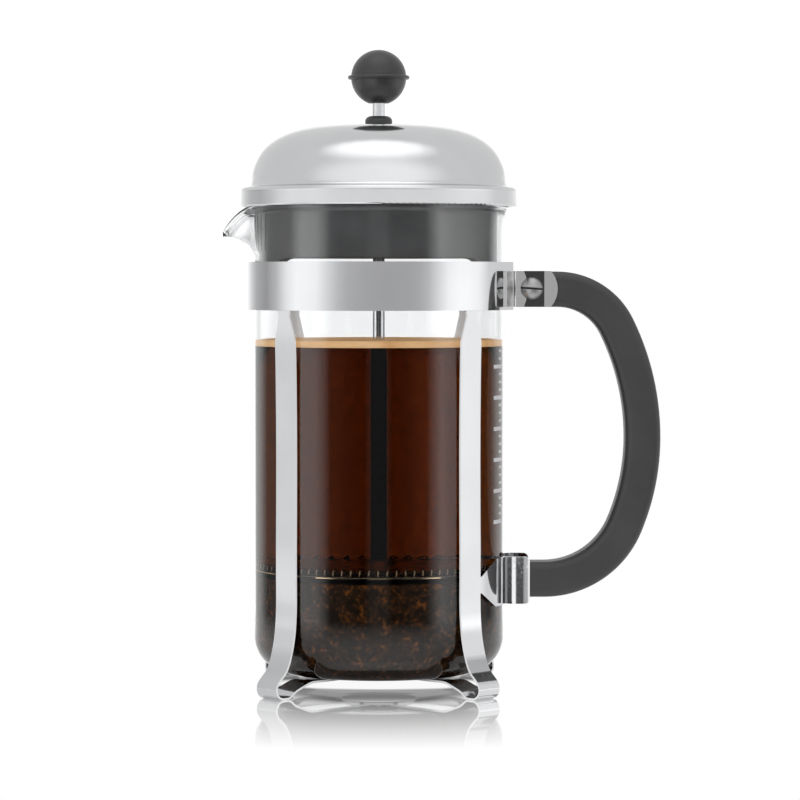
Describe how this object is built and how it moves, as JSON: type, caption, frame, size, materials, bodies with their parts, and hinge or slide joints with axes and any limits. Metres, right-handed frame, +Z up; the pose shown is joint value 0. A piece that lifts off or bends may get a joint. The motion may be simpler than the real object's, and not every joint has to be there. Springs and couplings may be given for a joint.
{
  "type": "french press",
  "caption": "Glass french press in a polished strip frame with a black side handle, a domed lid and a ball-knob plunger with a spring-edged filter.",
  "frame": {"origin": "on the beaker's axis, at the level of the four feet's undersides (the table)", "axes": "+Z up along the beaker's axis, +X to the handle, -X to the spout, -Y the side shown in the picture"},
  "size_m": [0.171, 0.1076, 0.249],
  "materials": {
    "chrome": "polished",
    "polished_steel": "polished",
    "filter_steel": "satin",
    "glass": "clear",
    "black_plastic": "satin",
    "knob_plastic": "semi-gloss",
    "grey_plastic": "satin"
  },
  "bodies": {
    "frame": {"frame_band": "chrome", "frame_leg_front_left": "chrome", "frame_leg_front_right": "chrome", "frame_leg_back_left": "chrome", "frame_leg_back_right": "chrome", "base_hub": "chrome", "upper_bracket_front": "chrome", "upper_bracket_rear": "chrome", "lower_bracket_front": "chrome", "lower_bracket_rear": "chrome", "handle": "black_plastic", "ear_pad_front": "black_plastic", "ear_pad_rear": "black_plastic", "clamp_screw": "chrome", "clamp_nut": "chrome"},
    "beaker": {"beaker": "glass"},
    "lid_guide": {"guide_bush": "filter_steel", "guide_cap": "black_plastic"},
    "lid_shell": {"lid_dome": "polished_steel", "lid_strainer": "grey_plastic"},
    "plunger": {"plunger_rod": "chrome", "knob": "knob_plastic", "rod_collar": "filter_steel", "spiral_plate": "filter_steel", "edge_coil": "filter_steel", "filter_mesh": "filter_steel", "cross_plate": "filter_steel", "hub_nut": "filter_steel"}
  },
  "joints": [
    {"name": "beaker_lift", "type": "slide", "parent": "frame", "child": "beaker", "axis": [0, 0, 1], "range_m": [0, 0.17]},
    {"name": "lid_lift", "type": "slide", "parent": "beaker", "child": "lid_guide", "axis": [0, 0, 1], "range_m": [0, 0.16]},
    {"name": "lid_turn", "type": "hinge", "parent": "lid_guide", "child": "lid_shell", "pos_m": [0, 0, 0.2], "axis": [0, 0, 1], "continuous": true},
    {"name": "plunger_press", "type": "slide", "parent": "lid_guide", "child": "plunger", "axis": [0, 0, 1], "range_m": [-0.0045, 0.105]}
  ]
}
